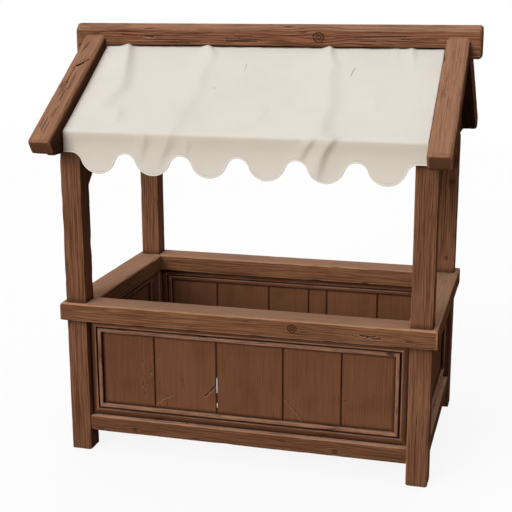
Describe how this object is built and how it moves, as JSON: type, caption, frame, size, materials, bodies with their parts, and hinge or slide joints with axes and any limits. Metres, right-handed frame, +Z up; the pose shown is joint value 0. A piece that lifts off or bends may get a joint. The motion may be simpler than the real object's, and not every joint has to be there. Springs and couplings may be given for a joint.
{
  "type": "wooden market stall",
  "caption": "Open timber market stall with a panelled counter on every side, corner posts, braced tie beams and a ridged canvas roof with scalloped valances.",
  "frame": {"origin": "on the ground, in the middle of the four posts", "axes": "+X along the front to the viewer's right, -Y out of the front, +Z up"},
  "size_m": [2.51, 1.863, 2.5769],
  "materials": {
    "post_timber": "oiled reddish brown timber with worn edges",
    "roof_timber": "reddish brown timber, paler on its weathered upper faces",
    "counter_timber": "reddish brown timber, rubbed paler on top",
    "frame_wood": "planed moulding, reddish brown",
    "board_wood": "planed boards, mid brown",
    "canvas": "undyed cotton canvas"
  },
  "bodies": {
    "root": {"bottom_rail_back": "post_timber", "bottom_rail_front": "post_timber", "bottom_rail_left": "post_timber", "bottom_rail_right": "post_timber", "canopy_back": "canvas", "canopy_front": "canvas", "counter_back": "counter_timber", "counter_front": "counter_timber", "counter_left": "counter_timber", "counter_right": "counter_timber", "eave_rail_back": "post_timber", "eave_rail_front": "post_timber", "knee_brace_back_left": "post_timber", "knee_brace_back_right": "post_timber", "knee_brace_front_left": "post_timber", "knee_brace_front_right": "post_timber", "panel_boards_back": "board_wood", "panel_boards_front": "board_wood", "panel_boards_left": "board_wood", "panel_boards_right": "board_wood", "panel_rails_back": "frame_wood", "panel_rails_front": "frame_wood", "panel_rails_left": "frame_wood", "panel_rails_right": "frame_wood", "panel_stiles_back": "frame_wood", "panel_stiles_front": "frame_wood", "panel_stiles_left": "frame_wood", "panel_stiles_right": "frame_wood", "post_back_left": "post_timber", "post_back_right": "post_timber", "post_front_left": "post_timber", "post_front_right": "post_timber", "rafter_back_left": "roof_timber", "rafter_back_right": "roof_timber", "rafter_front_left": "roof_timber", "rafter_front_right": "roof_timber", "ridge_beam": "roof_timber", "tie_beam_left": "post_timber", "tie_beam_right": "post_timber", "valance_back": "canvas", "valance_front": "canvas"}
  },
  "joints": []
}
